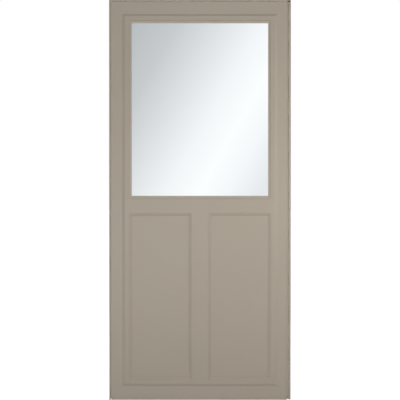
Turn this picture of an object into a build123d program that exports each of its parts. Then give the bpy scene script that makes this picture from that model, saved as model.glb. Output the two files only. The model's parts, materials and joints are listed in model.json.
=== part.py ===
"""Storm door: slim three-sided frame, full-length hinge and an outswing leaf.

Millimetres. +X is to the viewer's right from outside, the outside looks along -Y
and +Z is up. The origin is on the outer flat face of the hinge jamb, at its foot,
and y = 0 is the front plane of the leaf's border.
"""

import os

from build123d import *

os.makedirs("parts", exist_ok=True)

# Overall frame
frame_width = 921.0
frame_height = 2032.0
frame_front_y = -3.0
frame_back_y = 45.0
hinge_web = 2.0
latch_web = 3.0
head_web = 4.0
stop_thickness = 2.0
hinge_stop_reach = 34.0
latch_stop_reach = 32.0
head_stop_drop = 28.0

# Full-length hinge
barrel_radius = 4.8
barrel_web_gap = 0.5
barrel_leaf_gap = 5.0
pin_radius = 2.5
pin_clearance = 0.05
knuckle_count = 21
knuckle_gap = 0.5
frame_flap = 2.0
leaf_flap = 1.2
flap_depth = 32.0
flap_notch_y = 5.6
leg_y = 0.8
leg_thickness = 1.8
leg_notch_x = 5.4
pin_head_radius = 3.9
pin_head = 1.5
hinge_foot_z = 6.0
hinge_head_gap = 2.0

# Leaf outline
latch_gap = 5.0
head_gap = 5.0
leaf_bottom_z = 14.0
leaf_back_y = 38.0
latch_bevel = 2.0

# Raised inner field of the leaf
field_y = -6.0
field_side = 64.5
field_bottom_z = 70.5
field_head = 62.5
field_steps = ((0.0, 0.0), (6.5, 0.62), (20.0, 1.0))

# Openings in the leaf
opening_side = 101.5
opening_bottom_z = 103.5
opening_head = 96.4
glass_opening_height = 903.0
lock_rail_height = 74.6
mullion_width = 86.0

# Lower panels
panel_steps = ((0.7, 0.0), (1.6, 0.24), (6.6, 0.38), (14.5, 1.0))
panel_face_y = 0.6
panel_back_y = 34.0

# Glazing
glass_front_y = 10.0
glass_thickness = 4.0
bead_width = 12.5
bottom_bead_width = 14.5
glass_cover = 8.0
bead_nose = 0.4
bead_edge_y = 0.8
bead_steps = ((0.0, 0.0), (0.34, 0.5), (1.0, 1.0))

# Bottom expander and sweep
sheet = 1.4
expander_foot_z = 9.5
expander_top_z = 63.5
expander_back_top_z = 50.0
expander_back_gap = 5.0
expander_end_gap = 1.0
sweep_foot_z = 1.0
sweep_fin = 2.0
sweep_base = 2.0
sweep_inset = 0.8

# Pile seals
edge_seal_y = -2.0
edge_seal_depth = 6.0
edge_seal_gap = 0.3
hinge_seal_gap = 2.0
stop_seal_gap = 0.5
stop_seal_width = 7.0
stop_seal_inset = 3.0

# Screw holes in the frame webs
screw_radius = 2.25
screw_y = 37.5
screw_foot = 120.0
screw_head = 112.0
jamb_screws = 6
head_screw_side = 160.5
cutter = 20.0

# Places that follow from the sizes
frame_left_x = -frame_width
head_bottom_z = frame_height - head_web
stop_y0 = frame_back_y - stop_thickness
stop_top_z = head_bottom_z - head_stop_drop
pin_x = -hinge_web - barrel_web_gap - barrel_radius
leaf_flap_x = pin_x - barrel_radius - barrel_leaf_gap
leaf_hinge_x = leaf_flap_x - leaf_flap
leaf_latch_x = frame_left_x + latch_web + latch_gap
leaf_top_z = head_bottom_z - head_gap
leaf_centre_x = -frame_width / 2
opening_x0 = frame_left_x + opening_side
opening_x1 = -opening_side
opening_top_z = leaf_top_z - opening_head
rail_top_z = opening_top_z - glass_opening_height
rail_bottom_z = rail_top_z - lock_rail_height
field_top_z = leaf_top_z - field_head
barrel_bottom_z = hinge_foot_z
barrel_top_z = leaf_top_z - hinge_head_gap
knuckle_pitch = (barrel_top_z - barrel_bottom_z) / knuckle_count
screw_step = (head_bottom_z - screw_foot - screw_head + head_web) / (jamb_screws - 1)
jamb_screw_z = [screw_foot + index * screw_step for index in range(jamb_screws)]
head_screw_x = (frame_left_x + head_screw_side, -head_screw_side)


def span(x, y, z, mode=Mode.ADD):
    """Add a box between two limits on each axis to the active part."""
    with Locations(((x[0] + x[1]) / 2, (y[0] + y[1]) / 2, (z[0] + z[1]) / 2)):
        Box(x[1] - x[0], y[1] - y[0], z[1] - z[0], mode=mode)


def front_plane(y):
    """A sketch plane at depth y whose x is +X and whose y is +Z."""
    return Plane(origin=(0, y, 0), x_dir=(1, 0, 0), z_dir=(0, -1, 0))


def taper(sections, mode=Mode.ADD):
    """Loft through pairs of neighbouring rectangles, each given as its x, z and depth y."""
    outlines = []
    for x, z, y in sections:
        with BuildSketch(front_plane(y)) as outline:
            with Locations(((x[0] + x[1]) / 2, (z[0] + z[1]) / 2)):
                Rectangle(x[1] - x[0], z[1] - z[0])
        outlines.append(outline.sketch.face())
    for first, second in zip(outlines, outlines[1:]):
        loft(sections=[first, second], mode=mode)


def inset(limits, trim):
    """Limits moved inwards by a trim."""
    return (limits[0] + trim, limits[1] - trim)


def upright(radius, x, y, z, mode=Mode.ADD):
    """Add a vertical cylinder from z[0] to z[1] to the active part."""
    with Locations((x, y, (z[0] + z[1]) / 2)):
        Cylinder(radius, z[1] - z[0], mode=mode)


def cross_holes(axis, places):
    """Cut round screw holes along the given axis at each place."""
    turn = {"X": (0, 90, 0), "Z": (0, 0, 0)}[axis]
    for place in places:
        with Locations(Location(place, turn)):
            Cylinder(screw_radius, cutter, mode=Mode.SUBTRACT)


def jamb(web_x, stop_x, outer_x):
    """L-shaped jamb: a web against the wall and a stop flange behind the leaf."""
    with BuildPart() as piece:
        span(web_x, (frame_front_y, frame_back_y), (0, head_bottom_z))
        span(stop_x, (stop_y0, frame_back_y), (0, head_bottom_z))
        cross_holes("X", [(outer_x, screw_y, z) for z in jamb_screw_z])
    return piece


def head_frame():
    """Head: a web over both jambs and a stop flange down between their stops."""
    with BuildPart() as piece:
        span((frame_left_x, 0), (frame_front_y, frame_back_y), (head_bottom_z, frame_height))
        span(
            (frame_left_x + latch_stop_reach, -hinge_stop_reach),
            (stop_y0, frame_back_y),
            (stop_top_z, head_bottom_z),
        )
        cross_holes("Z", [(x, screw_y, frame_height) for x in head_screw_x])
    return piece


def leaf_ring():
    """Core of the leaf's border: flat edge, raised field and one large opening."""
    span((leaf_latch_x, leaf_hinge_x), (0, leaf_back_y), (leaf_bottom_z, leaf_top_z))
    field_x, field_z = (frame_left_x + field_side, -field_side), (field_bottom_z, field_top_z)
    taper([(inset(field_x, run), inset(field_z, run), rise * field_y) for run, rise in field_steps])
    span(
        (opening_x0, opening_x1),
        (field_y - 1, leaf_back_y + 1),
        (opening_bottom_z, opening_top_z),
        mode=Mode.SUBTRACT,
    )
    with BuildSketch(Plane.XY.offset(leaf_bottom_z - 1)) as wedge:
        with BuildLine():
            Polyline(
                (leaf_latch_x, 0),
                (leaf_latch_x + latch_bevel, leaf_back_y),
                (leaf_latch_x + latch_bevel, leaf_back_y + 1),
                (leaf_latch_x - 1, leaf_back_y + 1),
                (leaf_latch_x - 1, 0),
                close=True,
            )
        make_face()
    extrude(wedge.sketch, amount=leaf_top_z - leaf_bottom_z + 2, mode=Mode.SUBTRACT)


def ring_piece(corners):
    """One mitred stile or rail of the border, cut out by its corners in x and z."""
    with BuildPart() as piece:
        leaf_ring()
        with BuildSketch(front_plane(leaf_back_y + 5)) as mitre:
            with BuildLine():
                Polyline(*corners, close=True)
            make_face()
        extrude(mitre.sketch, amount=leaf_back_y + 20, mode=Mode.INTERSECT)
    return piece


def plain_block(x, y, z):
    """A plain rectangular piece."""
    with BuildPart() as piece:
        span(x, y, z)
    return piece


def pressed_panel(x, z):
    """Lower panel: sunk face inside a moulding with a short drop, a shelf and a slope."""
    with BuildPart() as piece:
        span(x, (field_y, panel_back_y), z)
        taper(
            [
                (inset(x, run), inset(z, run), field_y + fall * (panel_face_y - field_y))
                for run, fall in panel_steps
            ],
            mode=Mode.SUBTRACT,
        )
    return piece


def glazing_bead(corners):
    """One mitred outer bead: a face that slopes in two stages and a square edge on the glass."""
    with BuildPart() as piece:
        span(
            (opening_x0, opening_x1),
            (field_y, glass_front_y),
            (rail_top_z, opening_top_z),
        )
        rows = []
        for run, fall in bead_steps:
            side = bead_nose + run * (bead_width - bead_nose)
            foot = bead_nose + run * (bottom_bead_width - bead_nose)
            rows.append(
                (
                    inset((opening_x0, opening_x1), side),
                    (rail_top_z + foot, opening_top_z - side),
                    field_y + fall * (bead_edge_y - field_y),
                )
            )
        taper(rows, mode=Mode.SUBTRACT)
        span(rows[-1][0], (bead_edge_y, glass_front_y), rows[-1][1], mode=Mode.SUBTRACT)
        with BuildSketch(front_plane(glass_front_y + 5)) as mitre:
            with BuildLine():
                Polyline(*corners, close=True)
            make_face()
        extrude(mitre.sketch, amount=40, mode=Mode.INTERSECT)
    return piece


def knuckle_spans(first):
    """The z limits of every second knuckle, starting with number `first`."""
    spans = []
    for index in range(first, knuckle_count, 2):
        base = barrel_bottom_z + index * knuckle_pitch
        low = base + (knuckle_gap / 2 if index else 0)
        high = base + knuckle_pitch - (knuckle_gap / 2 if index < knuckle_count - 1 else 0)
        spans.append((low, high))
    return spans


def frame_hinge():
    """Frame side of the hinge: a flap on the jamb's web with eleven knuckles."""
    with BuildPart() as piece:
        span((-hinge_web - frame_flap, -hinge_web), (0, flap_depth), (barrel_bottom_z, barrel_top_z))
        for low, high in knuckle_spans(1):
            span(
                (-hinge_web - frame_flap - 1, -hinge_web + 1),
                (-1, flap_notch_y),
                (low - knuckle_gap, high + knuckle_gap),
                mode=Mode.SUBTRACT,
            )
        for low, high in knuckle_spans(0):
            upright(barrel_radius, pin_x, 0, (low, high))
        upright(
            pin_radius + pin_clearance,
            pin_x,
            0,
            (barrel_bottom_z - 1, barrel_top_z + 1),
            mode=Mode.SUBTRACT,
        )
    return piece


def leaf_hinge():
    """Leaf side of the hinge: edge flap, bridging leg and ten knuckles."""
    low_z = leaf_bottom_z
    with BuildPart() as piece:
        span((leaf_hinge_x, leaf_flap_x), (leg_y, leg_y + flap_depth), (low_z, barrel_top_z))
        span(
            (leaf_hinge_x, pin_x - leg_notch_x),
            (leg_y, leg_y + leg_thickness),
            (low_z, barrel_top_z),
        )
        for low, high in knuckle_spans(1):
            span((pin_x - leg_notch_x - 1, pin_x), (leg_y, leg_y + leg_thickness), (low, high))
            upright(barrel_radius, pin_x, 0, (low, high))
        upright(
            pin_radius + pin_clearance,
            pin_x,
            0,
            (barrel_bottom_z - 1, barrel_top_z + 1),
            mode=Mode.SUBTRACT,
        )
    return piece


def pin():
    """Hinge pin with a peened head beyond each end knuckle."""
    with BuildPart() as piece:
        upright(pin_radius, pin_x, 0, (barrel_bottom_z - pin_head, barrel_top_z + pin_head))
        upright(pin_head_radius, pin_x, 0, (barrel_bottom_z - pin_head, barrel_bottom_z))
        upright(pin_head_radius, pin_x, 0, (barrel_top_z, barrel_top_z + pin_head))
    return piece


def expander():
    """U-shaped bottom channel with a web under the leaf and a shorter inner leg."""
    outer = (leaf_latch_x + expander_end_gap, leaf_hinge_x - expander_end_gap)
    inner = (
        frame_left_x + latch_stop_reach + expander_back_gap,
        -hinge_stop_reach - expander_back_gap,
    )
    with BuildPart() as piece:
        span(outer, (-sheet, 0), (expander_foot_z, expander_top_z))
        span(
            (leaf_latch_x + latch_bevel + expander_end_gap, outer[1]),
            (-sheet, leaf_back_y),
            (leaf_bottom_z - sheet, leaf_bottom_z),
        )
        span(inner, (leaf_back_y, leaf_back_y + sheet), (expander_foot_z, expander_back_top_z))
        span(
            inner,
            (leaf_back_y - sheet, leaf_back_y + sheet),
            (leaf_bottom_z - sheet, leaf_bottom_z),
        )
    return piece


def sweep():
    """Flexible bottom seal: a base strip under the expander with three fins."""
    x = (
        leaf_latch_x + latch_bevel + 2 * expander_end_gap,
        leaf_hinge_x - 2 * expander_end_gap,
    )
    top = leaf_bottom_z - sheet
    front, back = sweep_inset, leaf_back_y - sweep_inset
    with BuildPart() as piece:
        span(x, (front, back), (top - sweep_base, top))
        for y in (front, (front + back - sweep_fin) / 2, back - sweep_fin):
            span(x, (y, y + sweep_fin), (sweep_foot_z, top - sweep_base / 2))
    return piece


inner_corners = {
    "latch_foot": (opening_x0, opening_bottom_z),
    "latch_head": (opening_x0, opening_top_z),
    "hinge_foot": (opening_x1, opening_bottom_z),
    "hinge_head": (opening_x1, opening_top_z),
}
leaf_corners = {
    "latch_foot": (leaf_latch_x, leaf_bottom_z),
    "latch_head": (leaf_latch_x, leaf_top_z),
    "hinge_foot": (leaf_hinge_x, leaf_bottom_z),
    "hinge_head": (leaf_hinge_x, leaf_top_z),
}
outer_corners = {
    name: tuple(i + 1.05 * (o - i) for i, o in zip(inner_corners[name], leaf_corners[name]))
    for name in inner_corners
}


def ring_corners(first, second):
    """The four mitre corners of the border piece between two leaf corners."""
    return (
        outer_corners[first],
        outer_corners[second],
        inner_corners[second],
        inner_corners[first],
    )


bead_corners = {
    "latch_foot": (opening_x0, rail_top_z),
    "latch_head": (opening_x0, opening_top_z),
    "hinge_foot": (opening_x1, rail_top_z),
    "hinge_head": (opening_x1, opening_top_z),
}
bead_inner = {
    "latch_foot": (opening_x0 + bead_width, rail_top_z + bottom_bead_width),
    "latch_head": (opening_x0 + bead_width, opening_top_z - bead_width),
    "hinge_foot": (opening_x1 - bead_width, rail_top_z + bottom_bead_width),
    "hinge_head": (opening_x1 - bead_width, opening_top_z - bead_width),
}


def bead(first, second):
    """The outer bead between two corners of the glass opening."""
    return glazing_bead(
        (bead_corners[first], bead_corners[second], bead_inner[second], bead_inner[first])
    )


def retainer(x, z):
    """One inner strip that holds the glass from behind."""
    return plain_block(x, (glass_front_y + glass_thickness, leaf_back_y), z)


glass_x = (
    opening_x0 + bead_width - glass_cover,
    opening_x1 - bead_width + glass_cover,
)
glass_z = (
    rail_top_z + bottom_bead_width - glass_cover,
    opening_top_z - bead_width + glass_cover,
)
mullion_x = (leaf_centre_x - mullion_width / 2, leaf_centre_x + mullion_width / 2)
retainer_foot = (rail_top_z, rail_top_z + bottom_bead_width)
retainer_head = (opening_top_z - bead_width, opening_top_z)
retainer_side = (retainer_foot[1], retainer_head[0])
edge_seal_span = (edge_seal_y, edge_seal_y + edge_seal_depth)
stop_seal_span = (leaf_back_y + stop_seal_gap, stop_y0)
hinge_seal_x = (
    -hinge_stop_reach + stop_seal_inset,
    -hinge_stop_reach + stop_seal_inset + stop_seal_width,
)
latch_seal_x = (
    frame_left_x + latch_stop_reach - stop_seal_inset - stop_seal_width,
    frame_left_x + latch_stop_reach - stop_seal_inset,
)

pieces = {
    "hinge_jamb": jamb((-hinge_web, 0), (-hinge_stop_reach, 0), 0),
    "latch_jamb": jamb(
        (frame_left_x, frame_left_x + latch_web),
        (frame_left_x, frame_left_x + latch_stop_reach),
        frame_left_x,
    ),
    "head_jamb": head_frame(),
    "frame_hinge_leaf": frame_hinge(),
    "hinge_pin": pin(),
    "latch_edge_seal": plain_block(
        (frame_left_x + latch_web, leaf_latch_x - edge_seal_gap),
        edge_seal_span,
        (0, leaf_top_z),
    ),
    "head_edge_seal": plain_block(
        (frame_left_x + latch_web, pin_x - barrel_radius - hinge_seal_gap),
        edge_seal_span,
        (leaf_top_z + edge_seal_gap, head_bottom_z),
    ),
    "hinge_stop_seal": plain_block(
        hinge_seal_x, stop_seal_span, (0, stop_top_z)
    ),
    "latch_stop_seal": plain_block(
        latch_seal_x, stop_seal_span, (0, stop_top_z)
    ),
    "head_stop_seal": plain_block(
        (latch_seal_x[0], hinge_seal_x[1]),
        stop_seal_span,
        (stop_top_z, stop_top_z + stop_seal_width),
    ),
    "latch_stile": ring_piece(ring_corners("latch_foot", "latch_head")),
    "hinge_stile": ring_piece(ring_corners("hinge_foot", "hinge_head")),
    "top_rail": ring_piece(ring_corners("latch_head", "hinge_head")),
    "bottom_rail": ring_piece(ring_corners("latch_foot", "hinge_foot")),
    "lock_rail": plain_block(
        (opening_x0, opening_x1), (field_y, leaf_back_y), (rail_bottom_z, rail_top_z)
    ),
    "mullion": plain_block(
        mullion_x, (field_y, leaf_back_y), (opening_bottom_z, rail_bottom_z)
    ),
    "latch_side_panel": pressed_panel(
        (opening_x0, mullion_x[0]), (opening_bottom_z, rail_bottom_z)
    ),
    "hinge_side_panel": pressed_panel(
        (mullion_x[1], opening_x1), (opening_bottom_z, rail_bottom_z)
    ),
    "glass_pane": plain_block(
        glass_x, (glass_front_y, glass_front_y + glass_thickness), glass_z
    ),
    "latch_bead": bead("latch_foot", "latch_head"),
    "hinge_bead": bead("hinge_foot", "hinge_head"),
    "top_bead": bead("latch_head", "hinge_head"),
    "bottom_bead": bead("latch_foot", "hinge_foot"),
    "latch_retainer": retainer((opening_x0, opening_x0 + bead_width), retainer_side),
    "hinge_retainer": retainer((opening_x1 - bead_width, opening_x1), retainer_side),
    "top_retainer": retainer((opening_x0, opening_x1), retainer_head),
    "bottom_retainer": retainer((opening_x0, opening_x1), retainer_foot),
    "leaf_hinge_leaf": leaf_hinge(),
    "bottom_expander": expander(),
    "bottom_sweep": sweep(),
}

for name, piece in pieces.items():
    piece.part.label = name
    export_step(piece.part, f"parts/{name}.step")
    print(name, len(piece.part.solids()), round(piece.part.volume))
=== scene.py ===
"""Looks for a storm door: painted frame and leaf, clear pane, full-length hinge and seals.

Metres, in the CAD frame: +X to the viewer's right from outside, the outside looks along -Y
and +Z is up. Shapes are profiles carried along paths and are worked out with numpy.
"""

from __future__ import annotations

import json
import logging
import math
from dataclasses import dataclass, field
from enum import Enum

import bmesh
import bpy
import numpy as np
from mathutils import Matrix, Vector

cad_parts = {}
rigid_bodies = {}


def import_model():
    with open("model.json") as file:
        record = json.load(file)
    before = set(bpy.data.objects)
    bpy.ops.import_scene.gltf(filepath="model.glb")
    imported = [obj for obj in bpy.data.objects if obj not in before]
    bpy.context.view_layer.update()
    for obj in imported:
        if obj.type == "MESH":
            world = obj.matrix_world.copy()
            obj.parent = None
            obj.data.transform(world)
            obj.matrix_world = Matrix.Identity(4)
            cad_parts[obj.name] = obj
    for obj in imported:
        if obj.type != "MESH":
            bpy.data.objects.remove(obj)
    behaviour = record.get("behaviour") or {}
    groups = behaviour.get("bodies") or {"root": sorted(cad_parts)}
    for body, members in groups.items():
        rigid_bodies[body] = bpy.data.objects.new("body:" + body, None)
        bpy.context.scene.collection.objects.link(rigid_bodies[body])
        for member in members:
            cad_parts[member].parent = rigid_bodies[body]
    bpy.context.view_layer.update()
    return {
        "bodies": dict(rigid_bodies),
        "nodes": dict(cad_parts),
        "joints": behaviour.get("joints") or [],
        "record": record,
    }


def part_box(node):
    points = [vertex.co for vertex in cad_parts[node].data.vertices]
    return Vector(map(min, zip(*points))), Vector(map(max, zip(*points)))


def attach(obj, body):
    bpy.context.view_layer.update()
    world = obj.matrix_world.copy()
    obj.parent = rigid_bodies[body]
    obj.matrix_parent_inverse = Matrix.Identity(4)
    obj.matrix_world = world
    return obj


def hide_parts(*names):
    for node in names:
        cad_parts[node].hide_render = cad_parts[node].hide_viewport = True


LOG = logging.getLogger("storm_door")
MM = 0.001
X, Y, Z = 0, 1, 2
WHITE = (1.0, 1.0, 1.0, 1.0)
Colour = tuple[float, float, float]
# Points (n, 3) in metres and the faces between them.
Shell = tuple[np.ndarray, list]


class Side(Enum):
    """The four sides of a rectangle on the leaf."""

    LATCH = "latch"
    HINGE = "hinge"
    HEAD = "top"
    FOOT = "bottom"


class Body(Enum):
    """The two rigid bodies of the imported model."""

    FRAME = "frame"
    LEAF = "leaf"


# Mesh work


def new_piece(name: str, points: np.ndarray, faces: list, crease_deg: float = 35.0) -> bpy.types.Object:
    """Make one closed, smooth-shaded object out of points and faces.

    Args:
        name: Object and mesh name.
        points: Array (n, 3) in metres.
        faces: Lists of point numbers, one per face.
        crease_deg: Edges sharper than this stay sharp.

    Returns:
        The new object, linked to the scene.
    """
    mesh = bpy.data.meshes.new(name)
    mesh.from_pydata(points.tolist(), [], faces)
    work = bmesh.new()
    work.from_mesh(mesh)
    bmesh.ops.recalc_face_normals(work, faces=work.faces)
    work.to_mesh(mesh)
    work.free()
    mesh.shade_smooth()
    mesh.set_sharp_from_angle(angle=math.radians(crease_deg))
    piece = bpy.data.objects.new(name, mesh)
    bpy.context.collection.objects.link(piece)
    return piece


def flattened(piece: bpy.types.Object) -> bpy.types.Object:
    """Shade the wide faces flat up to their edges: each normal leans to the larger faces.

    Args:
        piece: A finished mesh object.

    Returns:
        The same object.
    """
    even = piece.modifiers.new("even_faces", "WEIGHTED_NORMAL")
    even.keep_sharp = True
    return piece


def grid_faces(rings: int, width: int) -> np.ndarray:
    """Quads between consecutive closed rings of points.

    Args:
        rings: Number of rings.
        width: Points in each ring.

    Returns:
        Array (k, 4) of point numbers.
    """
    row = np.arange(rings - 1)[:, None] * width
    column = np.arange(width)[None, :]
    after = (column + 1) % width
    quads = np.stack([row + column, row + after, row + width + after, row + width + column], axis=-1)
    return quads.reshape(-1, 4)


def swept(rings: np.ndarray) -> Shell:
    """Skin a stack of closed profiles and cap both ends.

    Args:
        rings: Array (n, m, 3): n profiles of m points each.

    Returns:
        The points (n * m, 3) and the faces, with one cap at each end.
    """
    count, width, _ = rings.shape
    faces = grid_faces(count, width).tolist()
    faces.append(list(range(width)))
    faces.append(list(range((count - 1) * width, count * width)))
    return rings.reshape(-1, 3), faces


def merged(parts: list[Shell]) -> Shell:
    """Join several shells into one.

    Args:
        parts: The shells.

    Returns:
        All their points, and their faces numbered anew.
    """
    points, faces, first = [], [], 0
    for part_points, part_faces in parts:
        points.append(part_points)
        faces += [[first + corner for corner in face] for face in part_faces]
        first += len(part_points)
    return np.concatenate(points), faces


def arc(centre: tuple[float, float], radius: float, start: float, end: float, steps: int = 5) -> np.ndarray:
    """Points on an arc: centre + radius * (cos a, sin a), a from start to end degrees."""
    angle = np.radians(np.linspace(start, end, steps))
    return np.stack([centre[0] + radius * np.cos(angle), centre[1] + radius * np.sin(angle)], axis=-1)


def softened_box(low: tuple, high: tuple, radius: float, axis: int) -> Shell:
    """A bar along one axis whose four long edges are rounded by the given radius.

    Args:
        low: Lowest corner.
        high: Highest corner.
        radius: Radius of the long edges.
        axis: X, Y or Z, the direction of the bar.

    Returns:
        Points and faces.
    """
    first, second = [index for index in range(3) if index != axis]
    corners = (
        ((high[first] - radius, high[second] - radius), 0),
        ((low[first] + radius, high[second] - radius), 90),
        ((low[first] + radius, low[second] + radius), 180),
        ((high[first] - radius, low[second] + radius), 270),
    )
    profile = np.concatenate([arc(centre, radius, turn, turn + 90, 4) for centre, turn in corners])
    rings = np.zeros((2, len(profile), 3))
    rings[:, :, first] = profile[:, 0]
    rings[:, :, second] = profile[:, 1]
    rings[0, :, axis] = low[axis]
    rings[1, :, axis] = high[axis]
    return swept(rings)


def turned(profile: np.ndarray, centre: tuple[float, float], segments: int = 32) -> Shell:
    """Turn a closed profile of (radius, z) round a vertical line.

    A point is (cx + r cos a, cy + r sin a, z), for a over the full circle.

    Args:
        profile: Array (m, 2) of radius and height, a closed loop.
        centre: x and y of the line.
        segments: Steps round the circle.

    Returns:
        Points and faces of a closed ring.
    """
    angle = np.linspace(0, 2 * np.pi, segments, endpoint=False)
    rings = np.stack(
        [
            centre[0] + profile[None, :, 0] * np.cos(angle)[:, None],
            centre[1] + profile[None, :, 0] * np.sin(angle)[:, None],
            np.broadcast_to(profile[None, :, 1], (segments, len(profile))),
        ],
        axis=-1,
    )
    looped = np.concatenate([rings, rings[:1]])
    faces = grid_faces(segments + 1, len(profile)) % (segments * len(profile))
    return looped[:-1].reshape(-1, 3), faces.tolist()


# Nested rectangles: a profile carried round a rectangle with mitred corners


@dataclass(frozen=True)
class Rect:
    """A rectangle on the leaf's face, in metres.

    A point of a moulding at offset d from it lies on the rectangle inset by d on every side.
    """

    left: float
    right: float
    foot: float
    head: float


@dataclass
class Nest:
    """A moulding as nested rectangles, one for each profile point, each at its own depth."""

    left: np.ndarray
    right: np.ndarray
    foot: np.ndarray
    head: np.ndarray
    depth: np.ndarray

    @classmethod
    def along(
        cls, rect: Rect, profile: np.ndarray, foot_scale: float = 1.0, head_scale: float = 1.0
    ) -> "Nest":
        """Nest a profile of (offset, depth) in millimetres inside a rectangle.

        Args:
            rect: The rectangle that offset 0 lies on.
            profile: Array (m, 2) of offset inwards and depth.
            foot_scale: Stretch of the offsets along the bottom side.
            head_scale: Stretch of the offsets along the top side.

        Returns:
            The nested rectangles.
        """
        offset = profile[:, 0] * MM
        return cls(
            rect.left + offset,
            rect.right - offset,
            rect.foot + offset * foot_scale,
            rect.head - offset * head_scale,
            profile[:, 1] * MM,
        )

    def joined(self, other: "Nest") -> "Nest":
        """This moulding followed by another one further in.

        Args:
            other: The inner moulding.

        Returns:
            Both as one.
        """
        mine = (self.left, self.right, self.foot, self.head, self.depth)
        theirs = (other.left, other.right, other.foot, other.head, other.depth)
        return Nest(*[np.concatenate(pair) for pair in zip(mine, theirs)])

    def side(self, side: Side) -> Shell:
        """One mitred side as a closed bar: each profile point runs from corner to corner.

        Args:
            side: Which side.

        Returns:
            Points and faces.
        """
        ends = {
            Side.LATCH: ((self.left, self.foot), (self.left, self.head)),
            Side.HINGE: ((self.right, self.foot), (self.right, self.head)),
            Side.HEAD: ((self.left, self.head), (self.right, self.head)),
            Side.FOOT: ((self.left, self.foot), (self.right, self.foot)),
        }[side]
        rings = np.stack([np.stack([x, self.depth, z], axis=-1) for x, z in ends])
        return swept(rings)

    def filled(self) -> Shell:
        """All four sides with the first and the last rectangle filled: one closed plate.

        Returns:
            Points and faces.
        """
        corners = (
            (self.left, self.foot),
            (self.right, self.foot),
            (self.right, self.head),
            (self.left, self.head),
        )
        rings = np.stack([np.stack([x, self.depth, z], axis=-1) for x, z in corners], axis=1)
        return swept(rings)


# Shader node groups


class Nodes:
    """Short calls for building one node tree."""

    def __init__(self, tree: bpy.types.NodeTree) -> None:
        """Start on a node tree."""
        self.tree = tree

    def feed(self, term: object, target: bpy.types.NodeSocket) -> None:
        """Link a socket to an input, or set the input to a plain value.

        Args:
            term: A socket, or a number, vector or colour.
            target: The input.
        """
        if isinstance(term, bpy.types.NodeSocket):
            self.tree.links.new(term, target)
        else:
            target.default_value = term

    def wire(self, node: bpy.types.Node, **inputs: object) -> None:
        """Feed several inputs of a node, each named with _ for a space."""
        for key, term in inputs.items():
            self.feed(term, node.inputs[key.replace("_", " ")])

    def add(self, kind: str, **settings: object) -> bpy.types.Node:
        """Add a node.

        Args:
            kind: Blender's name of the node type.
            settings: Properties by name, and inputs by name with in_ before it.

        Returns:
            The node.
        """
        node = self.tree.nodes.new(kind)
        for key, value in settings.items():
            if key.startswith("in_"):
                self.wire(node, **{key[3:]: value})
            else:
                setattr(node, key, value)
        return node

    def place(self) -> bpy.types.NodeSocket:
        """Object coordinates, which are metres in the CAD frame."""
        return self.add("ShaderNodeTexCoord").outputs["Object"]

    def noise(self, scale: object, detail: float, place: object, roughness: float = 0.5) -> object:
        """Fractal noise from 0 to 1 over a position.

        Args:
            scale: Waves per metre, a number or a socket.
            detail: Octaves of finer noise.
            place: The position.
            roughness: Share of each finer octave.

        Returns:
            The noise value.
        """
        node = self.add(
            "ShaderNodeTexNoise", in_Scale=scale, in_Detail=detail, in_Roughness=roughness, in_Vector=place
        )
        return node.outputs["Fac"]

    def math(self, operation: str, first: object, second: object = None, clamp: bool = False) -> object:
        """One math node; each term is a socket or a number.

        Args:
            operation: Blender's name of the operation.
            first: First term.
            second: Second term, where it has one.
            clamp: Keep the result from 0 to 1.

        Returns:
            The output socket.
        """
        node = self.add("ShaderNodeMath", operation=operation, use_clamp=clamp)
        self.feed(first, node.inputs[0])
        if second is not None:
            self.feed(second, node.inputs[1])
        return node.outputs[0]

    def spread(self, value: object, low: float, high: float) -> object:
        """Map a value from 0..1 to low..high."""
        node = self.add("ShaderNodeMapRange", in_Value=value, in_To_Min=low, in_To_Max=high)
        return node.outputs["Result"]

    def tinted(self, colour: Colour, tone: object) -> object:
        """A colour times a tone value.

        Args:
            colour: The colour.
            tone: The tone socket.

        Returns:
            The product.
        """
        mix = self.add("ShaderNodeVectorMath", operation="SCALE", in_Scale=tone)
        self.feed(colour, mix.inputs[0])
        return mix.outputs["Vector"]

    def blended(self, share: object, first: object, second: Colour) -> object:
        """First colour fading to the second.

        Args:
            share: Share of the second, from 0 to 1.
            first: Socket of the first colour.
            second: The second colour.

        Returns:
            The mixed colour.
        """
        mix = self.add("ShaderNodeMix", data_type="RGBA")
        # A Mix node keeps its colour inputs at 6 and 7 and its colour output at 2.
        for index, term in ((0, share), (6, first), (7, (*second, 1.0))):
            self.feed(term, mix.inputs[index])
        return mix.outputs[2]

    def bump(self, shader: bpy.types.Node, height: object, depth_mm: float, strength: float) -> None:
        """Raise a shader's normal by a height value.

        Args:
            shader: The shader.
            height: Height from 0 to 1.
            depth_mm: What a height of 1 stands for.
            strength: Strength of the Bump node.
        """
        node = self.add(
            "ShaderNodeBump", in_Strength=strength, in_Distance=depth_mm * MM, in_Height=height
        )
        self.feed(node.outputs["Normal"], shader.inputs["Normal"])

    def rays(self, *kinds: str) -> object:
        """1 for any of the named kinds of ray, else 0.

        Args:
            kinds: Names of outputs of the Light Path node.

        Returns:
            The largest of those outputs.
        """
        path = self.add("ShaderNodeLightPath")
        seen = path.outputs[kinds[0]]
        for kind in kinds[1:]:
            seen = self.math("MAXIMUM", seen, path.outputs[kind])
        return seen


def group_tree(name: str, inputs: dict[str, float], outputs: tuple[str, ...]) -> bpy.types.NodeTree:
    """A new shader group with float inputs, a Place vector input and float outputs.

    Args:
        name: Name of the group.
        inputs: Name and default of each float input.
        outputs: Names of the outputs.

    Returns:
        The group without nodes.
    """
    tree = bpy.data.node_groups.new(name, "ShaderNodeTree")
    tree.interface.new_socket("Place", in_out="INPUT", socket_type="NodeSocketVector")
    for key, value in inputs.items():
        socket = tree.interface.new_socket(key, in_out="INPUT", socket_type="NodeSocketFloat")
        socket.default_value = value
    for key in outputs:
        tree.interface.new_socket(key, in_out="OUTPUT", socket_type="NodeSocketFloat")
    return tree


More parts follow.
